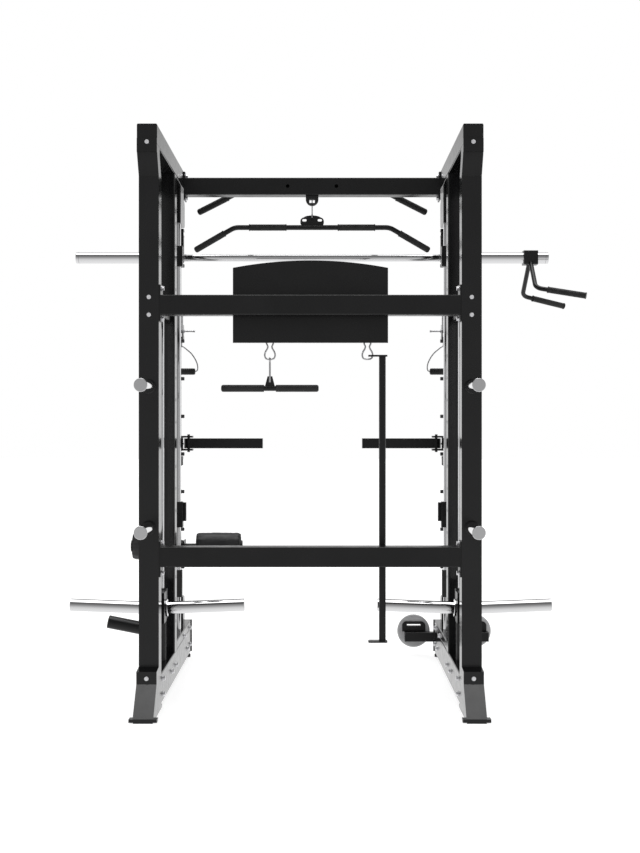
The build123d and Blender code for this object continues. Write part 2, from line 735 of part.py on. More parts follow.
def make_lat_bar():
    """Wide pull-down bar with a domed hanger plate and a cross pin that holds the cables' ends."""
    points = [(-LAT_END, CABLE_Y, LAT_END_Z), (-LAT_BEND, CABLE_Y, LAT_Z)]
    points += [(LAT_BEND, CABLE_Y, LAT_Z), (LAT_END, CABLE_Y, LAT_END_Z)]
    plate_half, plate_t = 52.0, 5.0
    with BuildPart() as bar:
        bent_tube(points, 70, LAT_R)
        with BuildSketch(Plane.XZ.offset(-CABLE_Y - plate_t / 2)):
            with Locations((0, HANGER_TOP - 29)):
                RectangleRounded(2 * plate_half, 40, 17)
            with Locations((0, HANGER_TOP - 14)):
                Ellipse(plate_half - 12, 14)
            with Locations((-34, 1977.5), (34, 1977.5)):
                SlotOverall(19, 11, mode=Mode.SUBTRACT)
        extrude(amount=plate_t)
        rod((0, CABLE_Y - 10, HANGER_EYE_Z), (0, CABLE_Y + 10, HANGER_EYE_Z), 4)
    return bar


def make_lat_bar_grips():
    """Four rubber grips on the pull-down bar: two on its straight part and two on its sloping ends."""
    with BuildPart() as grips:
        start = (LAT_GRIPS[0], CABLE_Y, LAT_Z)
        sleeve_on(start, (1, 0, 0), LAT_GRIPS[1] - LAT_GRIPS[0], LAT_R, GRIP_R)
        slope = (LAT_BEND - LAT_END, 0, LAT_Z - LAT_END_Z)
        end_grip((LAT_END, CABLE_Y, LAT_END_Z), slope, END_GRIP, LAT_R, GRIP_R)
        mirror(about=Plane.YZ)
    return grips


# ---------------------------------------------------------------- smith bar


def make_bearing_blocks():
    """Two bearing blocks: each runs on a guide rod and holds the bar."""
    with BuildPart() as blocks:
        slab(572, 620, ROD_Y - 22, ROD_Y + 22, 1773, 1863)
        slab(588, 622, ROD_Y + 20, 975, 1790, 1846)
        fillet(edges().filter_by(Axis.X).group_by(Axis.Y)[-1], radius=18)
        rod((ROD_X, ROD_Y, 1770), (ROD_X, ROD_Y, 1866), ROD_R + RUN, mode=Mode.SUBTRACT)
        rod((580, BAR_Y, BAR_Z), (630, BAR_Y, BAR_Z), SHAFT_R + RUN, mode=Mode.SUBTRACT)
        mirror(about=Plane.YZ)
    return blocks


def make_smith_bar():
    """Bar with its plate sleeves and their inner collars."""
    with BuildPart() as bar:
        rod((-SLEEVE_START, BAR_Y, BAR_Z), (SLEEVE_START, BAR_Y, BAR_Z), SHAFT_R)
        for side in (-1, 1):
            start = side * SLEEVE_START
            rod((start, BAR_Y, BAR_Z), (side * BAR_HALF, BAR_Y, BAR_Z), SLEEVE_R)
            rod((start, BAR_Y, BAR_Z), (start + side * 10, BAR_Y, BAR_Z), 36)
        circles = edges().filter_by(GeomType.CIRCLE).group_by(Axis.X)
        fillet(circles[0] + circles[-1], radius=2.5)
    return bar


HOOK_REACH = 109.0


def make_smith_hooks():
    """Two flat hooks on the bar that catch the pegs when the bar is turned."""
    stem = [(-13, 0), (14, 0), (9, 92), (22, 96), (22, HOOK_REACH - 8.8), (0, HOOK_REACH - 8.8)]
    stem += [(0, HOOK_REACH + 8.8), (24, HOOK_REACH + 8.8), (18, 129), (-13, 129), (-18, 118)]
    with BuildPart() as hooks:
        with BuildSketch(Plane.YZ.offset(573)):
            with BuildLine():
                Polyline(*[(BAR_Y + v, BAR_Z + u) for v, u in stem], close=True)
            make_face()
            with Locations((BAR_Y, BAR_Z)):
                Circle(21)
            with Locations((BAR_Y, BAR_Z + HOOK_REACH)):
                Circle(8.8, mode=Mode.SUBTRACT)
            with Locations((BAR_Y, BAR_Z)):
                Circle(SHAFT_R, mode=Mode.SUBTRACT)
        extrude(amount=11)
        mirror(about=Plane.YZ)
    return hooks


CLAMP_X0, CLAMP_X1 = 941.0, 1004.0
ROW_BEND = (967.5, 186.0, 1666.0)
ROW_END = (1172.0, 255.0, 1625.0)


def make_row_handle():
    """Clamp block on the bar's right sleeve with two bent handles."""
    with BuildPart() as handle:
        slab(CLAMP_X0, CLAMP_X1, BAR_Y - 31, BAR_Y + 31, BAR_Z - 31, BAR_Z + 31)
        fillet(edges().filter_by(Axis.X), radius=5)
        for side in (-1, 1):
            points = [(972, BAR_Y + side * 24, 1795), (ROW_BEND[0], BAR_Y + side * ROW_BEND[1], ROW_BEND[2])]
            points += [(ROW_END[0], BAR_Y + side * ROW_END[1], ROW_END[2])]
            bent_tube(points, 40, 10)
        rod((CLAMP_X0 - 1, BAR_Y, BAR_Z), (CLAMP_X1 + 1, BAR_Y, BAR_Z), SLEEVE_R + RUN, mode=Mode.SUBTRACT)
    return handle


def make_row_handle_grips():
    """Rubber grips on the two row handles."""
    back = Vector(*ROW_BEND) - Vector(*ROW_END)
    with BuildPart() as grips:
        for side in (-1, 1):
            start = (ROW_END[0], BAR_Y + side * ROW_END[1], ROW_END[2])
            sleeve_on(start, (back.X, side * back.Y, back.Z), 168, 10, 13.5)
    return grips


def make_safety_stop(side):
    """Stop on a guide rod with its hand lever."""
    with BuildPart() as stop:
        slab(side * 571, side * 620, ROD_Y - 22, ROD_Y + 22, 621, 733)
        fillet(edges().filter_by(Axis.Z), radius=4)
        slab(side * 557, side * 572, ROD_Y - 12, ROD_Y + 12, 648, 730)
        rod((side * ROD_X, ROD_Y, 620), (side * ROD_X, ROD_Y, 734), ROD_R + RUN, mode=Mode.SUBTRACT)
    return stop


# ---------------------------------------------------------------- front rail fittings


def make_trolley(side):
    """Trolley on a catch rail with cheeks for the stirrup handle and a bush for its pull pin."""
    lip = SIDE_X - RAIL_T / 2 - 8
    pivot = 12.0
    with BuildPart() as trolley:
        rail_clamp(side, TROLLEY_Z0, TROLLEY_Z1)
        for x in (SIDE_X - 12, SIDE_X + 8):
            slab(side * x, side * (x + 4), 1066, HANDLE_Y, HANDLE_PIVOT_Z - pivot, 1530)
            rod((side * x, HANDLE_Y, HANDLE_PIVOT_Z), (side * (x + 4), HANDLE_Y, HANDLE_PIVOT_Z), pivot)
        rod((side * (SIDE_X - 12), HANDLE_Y, HANDLE_PIVOT_Z), (side * (SIDE_X + 12), HANDLE_Y, HANDLE_PIVOT_Z), 5)
        rod((side * (SIDE_X - 12), 1100, 1512), (side * (SIDE_X + 12), 1100, 1512), 6)
        rod((side * 580, PIN_Y, PULL_PIN_Z), (side * lip, PIN_Y, PULL_PIN_Z), 8)
        rod((side * 579, PIN_Y, PULL_PIN_Z), (side * 595, PIN_Y, PULL_PIN_Z), PULL_PIN_R + RUN, mode=Mode.SUBTRACT)
    return trolley


def make_trolley_pin(side):
    """Pull pin with its knob, drawn back clear of the rail."""
    with BuildPart() as pin:
        rod((side * 536, PIN_Y, PULL_PIN_Z), (side * 596, PIN_Y, PULL_PIN_Z), PULL_PIN_R)
        rod((side * 533, PIN_Y, PULL_PIN_Z), (side * 540, PIN_Y, PULL_PIN_Z), 5)
    return pin


def make_d_handle(side):
    """Stirrup handle that hangs from a trolley."""
    centre = side * SIDE_X
    half = [(-60, HANDLE_Z), (-74, HANDLE_Z), (-73, 1352), (-50, 1396), (-12, 1428)]
    with BuildPart() as handle:
        shape = half + [(-x, z) for x, z in reversed(half)]
        bent_tube([(centre + x, HANDLE_Y, z) for x, z in shape], 6, 3)
        rod((centre - 64, HANDLE_Y, HANDLE_Z), (centre + 64, HANDLE_Y, HANDLE_Z), 15)
        rod((centre - 5, HANDLE_Y, HANDLE_PIVOT_Z), (centre + 5, HANDLE_Y, HANDLE_PIVOT_Z), 11)
        slab(centre - 4, centre + 4, HANDLE_Y - 4, HANDLE_Y + 4, 1426, HANDLE_PIVOT_Z - 8)
        pin = 5 + RUN
        bore = ((centre - 6, HANDLE_Y, HANDLE_PIVOT_Z), (centre + 6, HANDLE_Y, HANDLE_PIVOT_Z))
        rod(*bore, pin, mode=Mode.SUBTRACT)
    return handle


ARM_END = 227.0


def make_spotter_arm(side):
    """Folding arm with a round end about its pivot."""
    with BuildPart() as arm:
        with BuildSketch(Plane.XY.offset(965.5)):
            with Locations((side * ARM_X, ARM_Y)):
                Circle(21)
            with Locations((side * (ARM_X + ARM_END) / 2, ARM_Y)):
                Rectangle(ARM_X - ARM_END, 42)
            with Locations((side * ARM_X, ARM_Y)):
                Circle(6 + RUN, mode=Mode.SUBTRACT)
        extrude(amount=45)
    return arm


def make_leg_roller_bar():
    """Clamp on the left catch rail with the roller axle on two plates."""
    with BuildPart() as holder:
        rail_clamp(-1, LEG_Z - 34, LEG_Z + 34)
        for x in (-590, -620):
            slab(x, x + 6, 1062, LEG_Y + 18, LEG_Z - 30, LEG_Z + 30)
        rod((LEG_X - 256, LEG_Y, LEG_Z), (LEG_X + 256, LEG_Y, LEG_Z), 12)
        for x in (LEG_X - 256, LEG_X + 250):
            rod((x, LEG_Y, LEG_Z), (x + 6, LEG_Y, LEG_Z), 26)
    return holder


def make_leg_rollers():
    """Two padded rollers on the leg axle."""
    with BuildPart() as rollers:
        for x in (LEG_X - 248, LEG_X + 44):
            with BuildSketch(Plane.YZ.offset(x)):
                with Locations((LEG_Y, LEG_Z)):
                    Circle(ROLLER_R)
                    Circle(12 + RUN, mode=Mode.SUBTRACT)
            extrude(amount=204)
        outer = edges().filter_by(GeomType.CIRCLE).filter_by(lambda edge: edge.radius > 60)
        fillet(outer, radius=8)
    return rollers


# ---------------------------------------------------------------- landmine and stored attachments


def make_landmine_yoke():
    """Yoke that turns on the base beam's ears and holds the sleeve's cross pin."""
    with BuildPart() as yoke:
        rod((YAW_X, MINE_Y, MINE_Z - 20), (YAW_X, MINE_Y, MINE_Z + 20), 14)
        rod((YAW_X, MINE_Y, MINE_Z - 38), (YAW_X, MINE_Y, MINE_Z + 38), 8)
        rod((YAW_X, MINE_Y, MINE_Z + 31), (YAW_X, MINE_Y, MINE_Z + 38), 13)
        rod((YAW_X, MINE_Y, MINE_Z - 38), (YAW_X, MINE_Y, MINE_Z - 31), 13)
        slab(-692, -687, MINE_Y - 36.5, MINE_Y + 36.5, MINE_Z - 18, MINE_Z + 18)
        for y in (MINE_Y - 36.5, MINE_Y + 30.5):
            slab(-738, -687, y, y + 6, MINE_Z - 18, MINE_Z + 18)
        rod((PITCH_X, MINE_Y - 41, MINE_Z), (PITCH_X, MINE_Y + 41, MINE_Z), 6)
    return yoke


def make_landmine_sleeve():
    """Bar socket that tilts in the yoke."""
    tilt = radians(MINE_TILT)
    way = Vector(-cos(tilt), 0, sin(tilt))
    pivot = Vector(PITCH_X, MINE_Y, MINE_Z)
    with BuildPart() as sleeve:
        rod(tuple(pivot - way * 14), tuple(pivot + way * 198), MINE_R)
        rod(tuple(pivot + way * 14), tuple(pivot + way * 199), MINE_BORE_R, mode=Mode.SUBTRACT)
        cross = ((PITCH_X, MINE_Y - 30, MINE_Z), (PITCH_X, MINE_Y + 30, MINE_Z))
        rod(*cross, 6 + RUN, mode=Mode.SUBTRACT)
    return sleeve


WIRE_R = 3.0
CLIP_TOP, CLIP_LOW = 1400.5, 1327.0


def make_carabiner(x):
    """Pear-shaped snap link through a hook tab's hole."""
    half = [(9, CLIP_TOP), (14, 1390), (7, 1376), (19.5, 1345), (11, CLIP_LOW)]
    points = half + [(-dx, z) for dx, z in reversed(half)]
    with BuildPart() as clip:
        with BuildLine(mode=Mode.PRIVATE) as loop:
            FilletPolyline(*[(x + dx, HOOK_Y, z) for dx, z in points], radius=4, close=True)
        with BuildSketch(Plane(origin=(x, HOOK_Y, CLIP_TOP), z_dir=(1, 0, 0))):
            Circle(WIRE_R)
        sweep(path=loop.wires()[0])
    return clip


EYE_Z = CLIP_LOW - 2.5
SHORT_Z = 1216.0


def make_short_bar():
    """Short straight bar with a bracket and a hanging eye."""
    x = LEFT_HOOK_X
    with BuildPart() as bar:
        rod((x - 186, HOOK_Y, SHORT_Z), (x + 186, HOOK_Y, SHORT_Z), 10)
        for start in (x - 186, x + 23):
            rod((start, HOOK_Y, SHORT_Z), (start + 163, HOOK_Y, SHORT_Z), 13.5)
        circles = edges().filter_by(GeomType.CIRCLE).group_by(Axis.X)
        fillet(circles[0] + circles[-1], radius=8)
        with BuildSketch(Plane.XZ.offset(-HOOK_Y + 3)):
            with BuildLine():
                Polyline((x - 9, 1262), (x + 9, 1262), (x + 21, SHORT_Z), (x - 21, SHORT_Z), close=True)
            make_face()
        extrude(amount=-6)
        with BuildSketch(Plane.YZ.offset(x - 3.5)):
            with Locations((HOOK_Y, EYE_Z)):
                Circle(11)
            with Locations((HOOK_Y, (EYE_Z + 1240) / 2 - 5)):
                Rectangle(10, EYE_Z - 1240 - 8)
            with Locations((HOOK_Y, EYE_Z)):
                Circle(6, mode=Mode.SUBTRACT)
        extrude(amount=7)
    return bar


def make_long_bar():
    """Long bar stored upright, with a plate at each end."""
    low, high = 248.0, 1343.0
    with BuildPart() as bar:
        rod((LONG_BAR_X, HOOK_Y, low), (LONG_BAR_X, HOOK_Y, high), 13)
        for z in (low, high - 6):
            slab(220, 293, HOOK_Y - 20, HOOK_Y + 20, z, z + 6)
        fillet(edges().filter_by(Axis.Z), radius=9)
        rod((236, HOOK_Y, high - 7), (236, HOOK_Y, high + 1), 8, mode=Mode.SUBTRACT)
    return bar


save(make_rear_uprights(), "rear_uprights")
save(make_rear_feet(), "rear_feet")
save(make_top_beams(), "top_beams")
save(make_main_posts(), "main_posts")
save(make_base_beams(), "base_beams")
save(make_mid_beams(), "mid_beams")
save(make_rear_crossmembers(), "rear_crossmembers")
save(make_front_crossbeam(), "front_crossbeam")
save(make_rear_panel(), "rear_panel")
save(make_pull_up_bar(), "pull_up_bar")
save(make_pull_up_grips(), "pull_up_grips")
save(make_catch_rails(), "catch_rails")
save(make_catch_pegs(), "catch_pegs")
save(make_smith_guide_rods(), "smith_guide_rods")
save(make_carriage_guide_rods(), "carriage_guide_rods")
save(make_storage_horns(), "storage_horns")
save(make_frame_bolts(), "frame_bolts")
save(make_rubber_feet(), "rubber_feet")
save(make_rod_bumpers(), "rod_bumpers")
save(make_pulley_brackets(), "pulley_brackets")
save(make_frame_cables(), "frame_cables")
save(make_spotter_brackets(), "spotter_brackets")
save(make_footrest_bar(), "footrest_bar")
save(make_foot_pads(), "foot_pads")
save(make_rear_pulleys(), "rear_pulleys")
save(make_lat_cable(), "lat_cable")
save(make_carriage_cables(), "carriage_cables")
save(make_lat_bar(), "lat_bar")
save(make_lat_bar_grips(), "lat_bar_grips")
save(make_bearing_blocks(), "bearing_blocks")
save(make_smith_bar(), "smith_bar")
save(make_smith_hooks(), "smith_hooks")
save(make_row_handle(), "row_handle")
save(make_row_handle_grips(), "row_handle_grips")
save(make_leg_roller_bar(), "leg_roller_bar")
save(make_leg_rollers(), "leg_rollers")
save(make_landmine_yoke(), "landmine_yoke")
save(make_landmine_sleeve(), "landmine_sleeve")
save(make_short_bar(), "short_bar")
save(make_long_bar(), "long_bar")
save(make_carabiner(LEFT_HOOK_X), "carabiner_left")
save(make_carabiner(RIGHT_HOOK_X), "carabiner_right")
for word, sign in SIDES:
    save(make_corner_pulley(sign), f"corner_pulley_{word}")
    save(make_centre_pulley(sign), f"centre_pulley_{word}")
    save(make_weight_carriage(sign), f"weight_carriage_{word}")
    save(make_weight_horns(sign), f"weight_horns_{word}")
    save(make_safety_stop(sign), f"safety_stop_{word}")
    save(make_trolley(sign), f"trolley_{word}")
    save(make_trolley_pin(sign), f"trolley_pin_{word}")
    save(make_d_handle(sign), f"d_handle_{word}")
    save(make_spotter_arm(sign), f"spotter_arm_{word}")
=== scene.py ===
"""Looks for the smith machine: camera, light, materials and detailed pieces round the frame. Metres."""

import json
import math
import random

import bmesh
import bpy
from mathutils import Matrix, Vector


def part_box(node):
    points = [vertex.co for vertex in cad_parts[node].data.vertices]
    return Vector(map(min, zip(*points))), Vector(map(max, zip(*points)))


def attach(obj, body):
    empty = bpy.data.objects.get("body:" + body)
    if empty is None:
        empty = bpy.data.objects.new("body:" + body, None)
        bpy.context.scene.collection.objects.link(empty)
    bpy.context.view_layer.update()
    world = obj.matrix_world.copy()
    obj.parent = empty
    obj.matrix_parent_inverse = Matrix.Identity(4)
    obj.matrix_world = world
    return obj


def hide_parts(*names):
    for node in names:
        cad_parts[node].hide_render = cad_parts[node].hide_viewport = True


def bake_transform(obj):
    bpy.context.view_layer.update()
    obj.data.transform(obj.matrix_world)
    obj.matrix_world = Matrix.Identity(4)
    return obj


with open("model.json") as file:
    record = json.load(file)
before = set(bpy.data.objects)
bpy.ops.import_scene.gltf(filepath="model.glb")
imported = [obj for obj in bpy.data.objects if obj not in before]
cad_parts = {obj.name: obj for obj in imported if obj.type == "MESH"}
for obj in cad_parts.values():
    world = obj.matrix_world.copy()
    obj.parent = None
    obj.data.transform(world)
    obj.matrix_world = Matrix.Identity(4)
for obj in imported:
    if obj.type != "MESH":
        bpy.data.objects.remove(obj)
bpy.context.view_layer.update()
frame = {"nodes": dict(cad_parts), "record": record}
NODES = frame["nodes"]
random.seed(7)

LENS, SENSOR = 54.53, 36.0
CAMERA_AT = (-0.0183, -5.3345, 1.099)
CAMERA_SHIFT = (-0.00234, -0.00879)
FLOOR_HALF = 30.0
WHITE = (1, 1, 1, 1)

# What a glossy surface sees, as (height of the direction, brightness): towards the camera's side and behind.
NEAR_SIDE = [(-1.0, 0.95), (-0.6, 0.8), (0.0, 0.42), (0.62, 0.15), (0.84, 0.15), (0.9, 1.0), (0.94, 3.5)]
FAR_SIDE = [(-1.0, 1.0), (-0.1, 1.0), (0.12, 1.0), (0.25, 0.45), (0.88, 0.45), (0.94, 3.5)]
SIDE_TURN = [(-0.25, 0.0), (0.25, 1.0)]

# Soft lights: name, place, aim, size and power.
LIGHTS = [
    ("key", (-2.6, -4.0, 4.2), (0, 0, 1.1), (3.0, 3.0), 60),
    ("fill", (3.4, -3.0, 2.6), (0, 0, 1.0), (2.5, 3.5), 40),
    ("rim", (0.0, 4.6, 3.6), (0, 0, 1.2), (4.5, 2.0), 60),
]

# The CAD's places, in its millimetres from the centre plane, the rear faces and the floor.
ORIGIN_X, ORIGIN_Y = 62.0, 514.5  # the shared frame's origin
SIDE_X = 602.5  # middle of a side frame
BAR_Y, BAR_Z = 950, 1818  # smith bar
PULL_DOWN_Y = 893  # pull-down bar
STRAND_GAP = 5.4  # each of its two cables from that plane
CARRIAGE_X, CARRIAGE_Y = 630, 258  # cables of the plate carriages
HANDLE_Y, HANDLE_Z = 1118, 1317  # grips of the stirrup handles
LINK_Y, LINK_XS = 110, (-155, 217)  # snap links
SHORT_BAR_EYE_Z = 1264  # above this the short bar is bare steel

SHORT_BAR_CLAMP = 0.0229  # the short bar is covered in rubber outside this half width
PLATED_TROLLEY = 0.589  # a trolley's parts nearer the centre plane are plated
NODE_CREASE, PIECE_CREASE, STRAND_CREASE = 32, 35, 60  # edges bent by more degrees stay sharp
RIB_PITCH = 0.008
ROLLER_LENGTH = 0.204
SIDES = ((-1, "left"), (1, "right"))


# ---------------------------------------------------------------- camera, floor and light


def linked(name, data):
    """A new object in the scene."""
    obj = bpy.data.objects.new(name, data)
    bpy.context.scene.collection.objects.link(obj)
    return obj


def make_camera():
    data = bpy.data.cameras.new("camera")
    data.lens, data.sensor_width = LENS, SENSOR
    data.shift_x, data.shift_y = CAMERA_SHIFT
    data.clip_end = 100
    camera = linked("camera", data)
    camera.location = CAMERA_AT
    camera.rotation_euler = (math.radians(90), 0, 0)
    bpy.context.scene.camera = camera


def area_light(name, place, aim, size, power):
    """A soft light that shapes the paint but doesn't show as a shape in the chrome."""
    data = bpy.data.lights.new(name, "AREA")
    data.shape, data.size, data.size_y, data.energy = "RECTANGLE", size[0], size[1], power
    light = linked(name, data)
    light.location = place
    light.rotation_euler = (Vector(aim) - Vector(place)).to_track_quat("-Z", "Y").to_euler()
    light.visible_glossy = False


def gradient(tree, source, stops):
    """Brightness along a value that runs from -1 to 1, as (value, brightness) stops."""
    spread = tree.nodes.new("ShaderNodeMapRange")
    spread.inputs["From Min"].default_value = -1
    tree.links.new(source, spread.inputs["Value"])
    ramp = tree.nodes.new("ShaderNodeValToRGB")
    tree.links.new(spread.outputs["Result"], ramp.inputs["Fac"])
    elements = ramp.color_ramp.elements
    while len(elements) < len(stops):
        elements.new(0.5)
    for element, (value, light) in zip(elements, stops):
        element.position = (value + 1) / 2
        element.color = (light, light, light, 1)
    return ramp.outputs["Color"]


def blend_colors(tree, factor, a, b):
    mix = tree.nodes.new("ShaderNodeMix")
    mix.data_type = "RGBA"
    for socket, source in (("Factor", factor), ("A", a), ("B", b)):
        if isinstance(source, tuple):
            mix.inputs[socket].default_value = source
        else:
            tree.links.new(source, mix.inputs[socket])
    return mix.outputs["Result"]


def make_floor():
    mesh = bpy.data.meshes.new("floor")
    corners = [(x * FLOOR_HALF, y * FLOOR_HALF, 0) for x, y in ((-1, -1), (1, -1), (1, 1), (-1, 1))]
    mesh.from_pydata(corners, [], [(0, 1, 2, 3)])
    floor = linked("floor", mesh)
    floor.visible_glossy = False
    paint = Paint("floor_white", (0.5, 0.5, 0.5), 0.9)
    paint.set("Emission Color", WHITE).set("Emission Strength", 0.7)
    mesh.materials.append(paint.material)


def make_studio():
    """White room for the eye and the paint; the chrome reflects a ceiling light and a darker near side."""
    scene = bpy.context.scene
    scene.view_settings.view_transform = "Standard"
    world = bpy.data.worlds.new("studio")
    world.use_nodes = True
    tree = world.node_tree
    way = tree.nodes.new("ShaderNodeSeparateXYZ")
    tree.links.new(tree.nodes.new("ShaderNodeTexCoord").outputs["Generated"], way.inputs["Vector"])
    near_side = gradient(tree, way.outputs["Z"], NEAR_SIDE)
    far_side = gradient(tree, way.outputs["Z"], FAR_SIDE)
    room = blend_colors(tree, gradient(tree, way.outputs["Y"], SIDE_TURN), near_side, far_side)
    seen = tree.nodes.new("ShaderNodeLightPath").outputs["Is Glossy Ray"]
    tree.links.new(blend_colors(tree, seen, WHITE, room), tree.nodes["Background"].inputs["Color"])
    scene.world = world
    make_floor()
    for light in LIGHTS:
        area_light(*light)


# ---------------------------------------------------------------- materials


class Paint:
    """A Principled material with helpers for procedural colour, roughness and relief."""

    def __init__(self, name, color, rough, metallic=0.0, specular=0.5):
        self.material = bpy.data.materials.new(name)
        self.material.use_nodes = True
        self.tree = self.material.node_tree
        self.shader = self.tree.nodes["Principled BSDF"]
        self.color = color
        self.height = None
        self.coords = self.tree.nodes.new("ShaderNodeTexCoord").outputs["Object"]
        self.set("Base Color", (*color, 1))
        self.set("Roughness", rough)
        self.set("Metallic", metallic)
        self.set("Specular IOR Level", specular)

    def set(self, socket, value):
        self.shader.inputs[socket].default_value = value
        return self

    def node(self, kind, links=(), **values):
        made = self.tree.nodes.new(kind)
        for key, value in values.items():
            setattr(made, key, value)
        for socket, source in links:
            if isinstance(source, (int, float, tuple)):
                made.inputs[socket].default_value = source
            else:
                self.tree.links.new(source, made.inputs[socket])
        return made

    def noise(self, scale, detail=3.0):
        links = [("Vector", self.coords), ("Scale", scale), ("Detail", detail)]
        return self.node("ShaderNodeTexNoise", links).outputs["Fac"]

    def cells(self, scale, feature="F1"):
        links = [("Vector", self.coords), ("Scale", scale)]
        return self.node("ShaderNodeTexVoronoi", links, feature=feature).outputs["Distance"]

    def rings(self, scale):
        links = [("Vector", self.coords), ("Scale", scale)]
        return self.node("ShaderNodeTexWave", links, wave_type="RINGS").outputs["Fac"]

    def vary_color(self, fac, other, low=0.35, high=0.65):
        ramp = self.node("ShaderNodeMapRange", [("Value", fac), ("From Min", low), ("From Max", high)])
        mix = blend_colors(self.tree, ramp.outputs["Result"], (*self.color, 1), (*other, 1))
        self.tree.links.new(mix, self.shader.inputs["Base Color"])
        return self

    def vary_rough(self, fac, low, high):
        links = [("Value", fac), ("From Min", 0.3), ("From Max", 0.7), ("To Min", low), ("To Max", high)]
        spread = self.node("ShaderNodeMapRange", links)
        self.tree.links.new(spread.outputs["Result"], self.shader.inputs["Roughness"])
        return self

    def relief(self, fac, strength, distance=0.001):
        links = [("Height", fac), ("Strength", strength), ("Distance", distance)]
        bump = self.node("ShaderNodeBump", links)
        if self.height:
            self.tree.links.new(self.height, bump.inputs["Normal"])
        self.height = bump.outputs["Normal"]
        self.tree.links.new(self.height, self.shader.inputs["Normal"])
        return self


def powder_coat(name, color, rough, specular, grain=1.0):
    paint = Paint(name, color, rough, specular=specular)
    lighter = tuple(min(1, c * 1.25 + 0.0005) for c in color)
    paint.vary_color(paint.noise(7, 5), lighter, 0.35, 0.8)
    paint.vary_rough(paint.noise(30, 4), rough - 0.03, rough + 0.04)
    paint.relief(paint.noise(950, 2), 0.1 * grain, 0.0005)
    return paint.relief(paint.noise(260, 2), 0.03 * grain, 0.0006)


def make_materials():
    made = {"black_paint": powder_coat("black_paint", (0.004, 0.004, 0.0042), 0.3, 0.36)}
    made["beam_paint"] = powder_coat("beam_paint", (0.0035, 0.0035, 0.0037), 0.15, 0.48, grain=0.4)
    # Painted shade: a darker, duller paint for the slopes that face down and to the rear, so they read as
    # dark as the shaded upright faces; not a finish of their own.
    made["slope_shade_paint"] = powder_coat("slope_shade_paint", (0.01, 0.01, 0.0102), 0.5, 0.12)
    made["dark_steel"] = powder_coat("dark_steel", (0.012, 0.012, 0.013), 0.28, 0.6)
    chrome = Paint("chrome", (0.76, 0.76, 0.77), 0.06, metallic=1.0)
    chrome.vary_rough(chrome.noise(14, 4), 0.045, 0.08)
    made["chrome"] = chrome.relief(chrome.noise(600, 2), 0.002, 0.0003)
    steel = Paint("bright_steel", (0.55, 0.55, 0.56), 0.3, metallic=1.0)
    steel.vary_rough(steel.noise(60, 4), 0.22, 0.4).vary_color(steel.noise(9, 4), (0.66, 0.66, 0.67))
    made["bright_steel"] = steel.relief(steel.noise(700, 3), 0.05, 0.0004)
    zinc = Paint("zinc_bolt", (0.9, 0.9, 0.92), 0.34, metallic=0.85)
    zinc.vary_rough(zinc.noise(90, 3), 0.28, 0.42)
    made["zinc_bolt"] = zinc.relief(zinc.noise(900, 2), 0.06, 0.0003)
    rubber = Paint("grip_rubber", (0.009, 0.009, 0.009), 0.55, specular=0.35)
    rubber.vary_rough(rubber.noise(40, 3), 0.48, 0.66).vary_color(rubber.noise(25, 4), (0.014, 0.014, 0.014))
    rubber.relief(rubber.cells(520), 0.3, 0.0005)
    made["grip_rubber"] = rubber.relief(rubber.noise(1500), 0.1, 0.0003)
    cable = Paint("wire_cable", (0.45, 0.45, 0.46), 0.35, metallic=1.0)
    cable.relief(cable.noise(800, 2), 0.2, 0.0003)
    made["wire_cable"] = cable.vary_rough(cable.noise(80), 0.28, 0.45)
    nylon = Paint("pulley_nylon", (0.018, 0.018, 0.019), 0.42)
    nylon.vary_rough(nylon.noise(50, 3), 0.34, 0.52)
    made["pulley_nylon"] = nylon.relief(nylon.rings(90), 0.08, 0.0004)
    pad = Paint("foot_pad", (0.3, 0.3, 0.305), 0.2, specular=0.7)
    pad.vary_rough(pad.noise(35, 3), 0.15, 0.28).vary_color(pad.noise(16, 4), (0.35, 0.35, 0.355))
    made["foot_pad"] = pad.relief(pad.noise(420, 2), 0.05, 0.0004)
    vinyl = Paint("pad_vinyl", (0.011, 0.011, 0.0115), 0.42, specular=0.45)
    vinyl.vary_rough(vinyl.noise(30, 4), 0.36, 0.52).vary_color(vinyl.noise(12, 5), (0.018, 0.018, 0.019))
    vinyl.relief(vinyl.cells(420, "DISTANCE_TO_EDGE"), 0.35, 0.0006)
    made["pad_vinyl"] = vinyl.relief(vinyl.noise(26, 4), 0.3, 0.002)
    return made


# ---------------------------------------------------------------- mesh helpers


def place(x, y, z):
    """A point given in the CAD's millimetres from the machine's centre plane and rear face."""
    return Vector((x - ORIGIN_X, y - ORIGIN_Y, z)) / 1000.0


def circle(count):
    """Evenly spaced angles round a circle."""
    return [2 * math.pi * k / count for k in range(count)]


def cover(mesh, paint, crease):
    """One material and smooth shading, with the edges bent by more than crease degrees kept sharp."""
    mesh.materials.clear()
    mesh.materials.append(PAINTS[paint].material)
    mesh.polygons.foreach_set("use_smooth", [True] * len(mesh.polygons))
    mesh.set_sharp_from_angle(angle=math.radians(crease))


def finish_piece(obj, paint, body):
    cover(obj.data, paint, PIECE_CREASE)
    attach(obj, body)
    return obj


def mesh_object(name, bm):
    bmesh.ops.recalc_face_normals(bm, faces=bm.faces)
    mesh = bpy.data.meshes.new(name)
    bm.to_mesh(mesh)
    bm.free()
    return linked(name, mesh)


